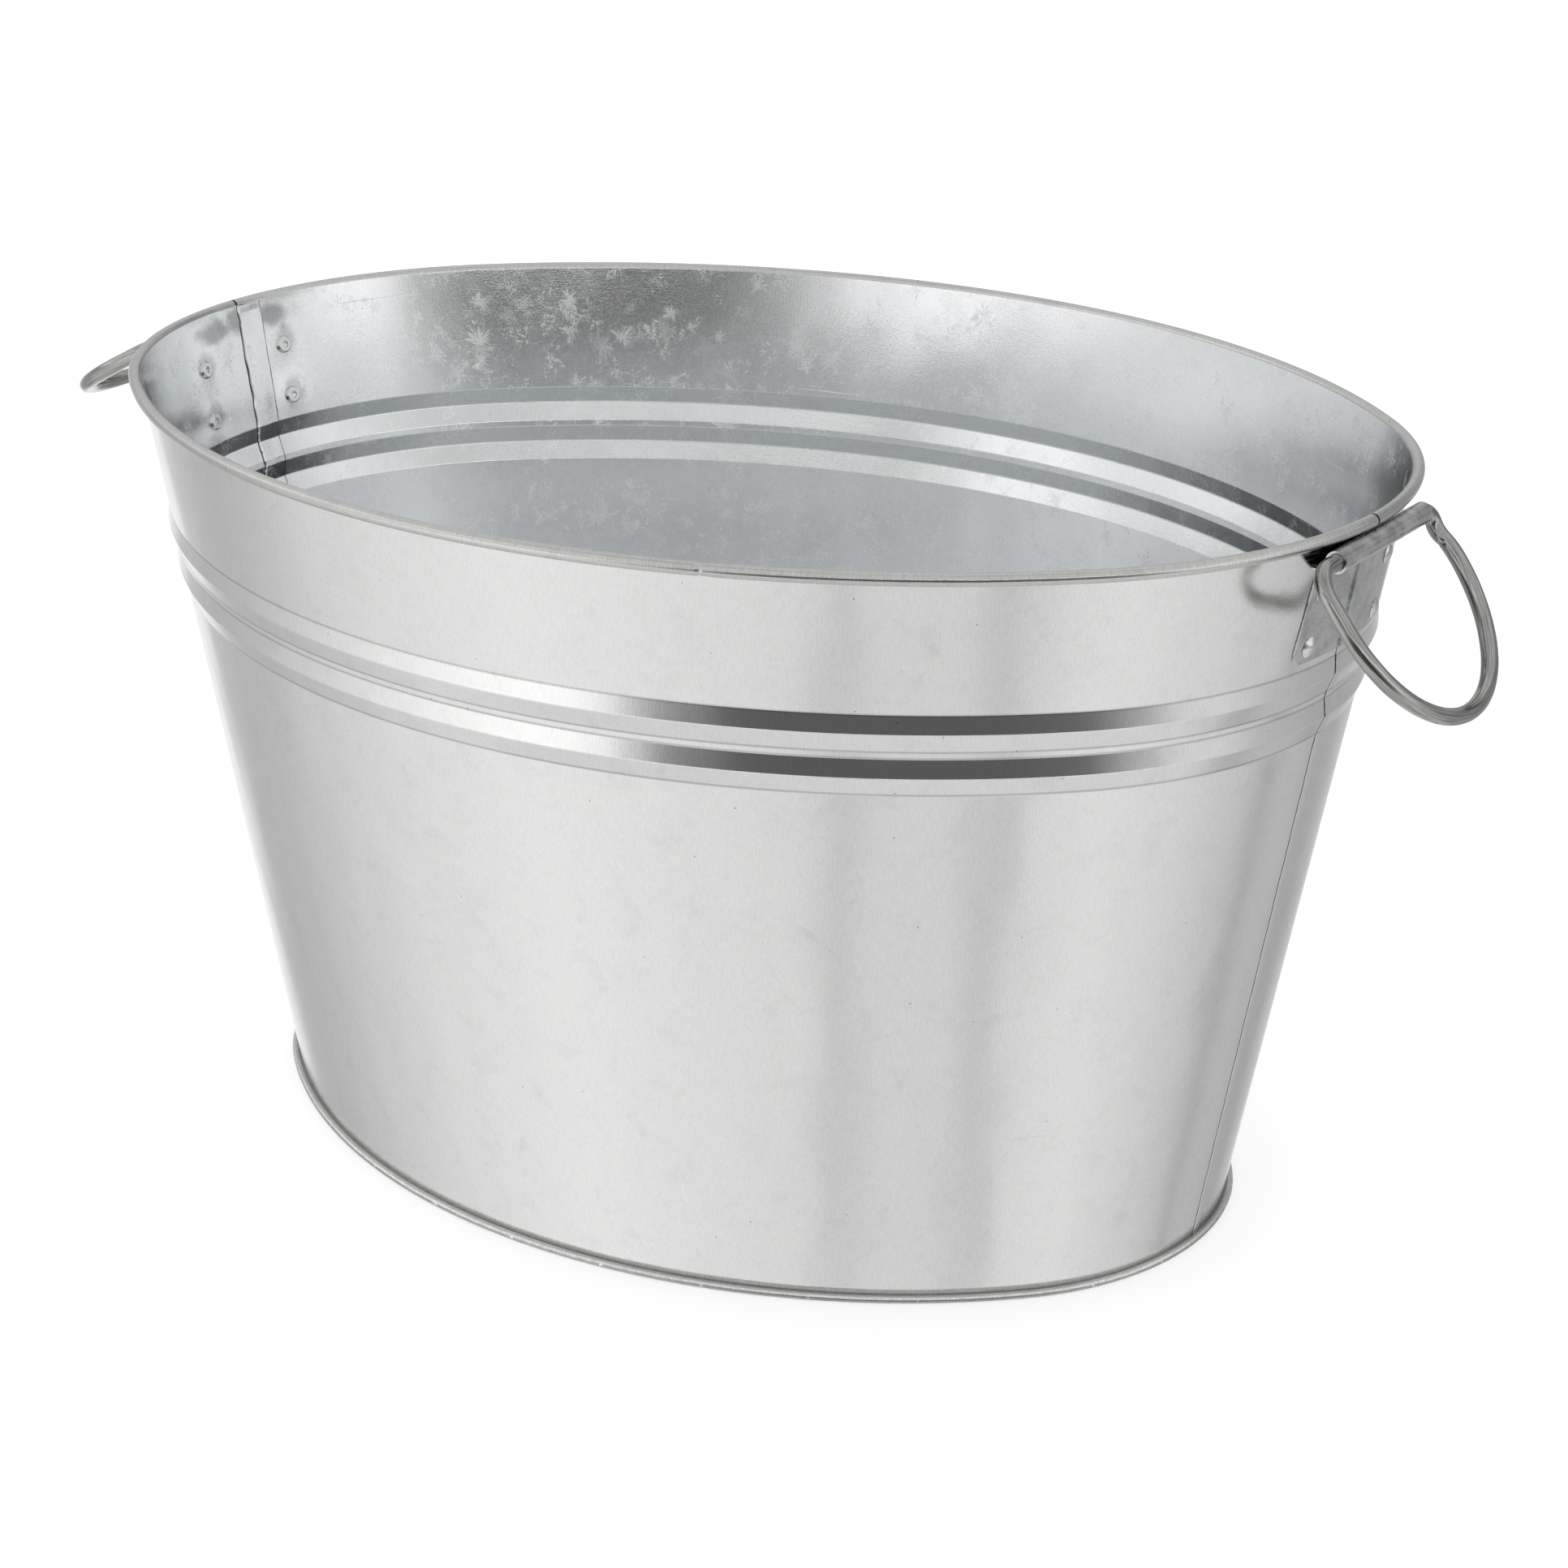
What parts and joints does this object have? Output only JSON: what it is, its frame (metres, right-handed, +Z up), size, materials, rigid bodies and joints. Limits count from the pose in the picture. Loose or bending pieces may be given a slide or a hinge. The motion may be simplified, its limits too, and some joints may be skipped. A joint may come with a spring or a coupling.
{
  "type": "wash tub",
  "caption": "Oval wash tub of zinc-coated sheet steel with a wired rim, twin beads, lock-seamed ends and two swinging handle rings.",
  "frame": {"origin": "on the ground under the middle of the tub's body", "axes": "+X along the tub's length towards the right handle, +Y across it towards the back, +Z up"},
  "size_m": [0.6435, 0.4136, 0.305],
  "materials": {
    "zinc_sheet": "satin",
    "bare_wire": "satin",
    "sealing_strip": "matt",
    "ear_sheet": "satin",
    "ring_wire": "polished",
    "rivet_metal": "satin"
  },
  "bodies": {
    "tub": {"wall_sheet_front": "zinc_sheet", "wall_sheet_back": "zinc_sheet", "rim_wire": "bare_wire", "bottom_pan": "zinc_sheet", "bottom_seam_seal": "sealing_strip", "handle_ear_right": "ear_sheet", "handle_ear_left": "ear_sheet", "rivet_right_front_upper": "rivet_metal", "rivet_right_front_lower": "rivet_metal", "rivet_right_back_upper": "rivet_metal", "rivet_right_back_lower": "rivet_metal", "rivet_left_front_upper": "rivet_metal", "rivet_left_front_lower": "rivet_metal", "rivet_left_back_upper": "rivet_metal", "rivet_left_back_lower": "rivet_metal"},
    "right_ring": {"handle_ring_right": "ring_wire"},
    "left_ring": {"handle_ring_left": "ring_wire"}
  },
  "joints": [
    {"name": "right_ring_swing", "type": "hinge", "parent": "tub", "child": "right_ring", "pos_m": [0.26635, 0, 0.2957], "axis": [0, 1, 0], "range_deg": [-158.6, 44.4]},
    {"name": "left_ring_swing", "type": "hinge", "parent": "tub", "child": "left_ring", "pos_m": [-0.26616, -0.00798, 0.2957], "axis": [0.0489, -0.9988, 0], "range_deg": [-134.6, 68.4]}
  ]
}
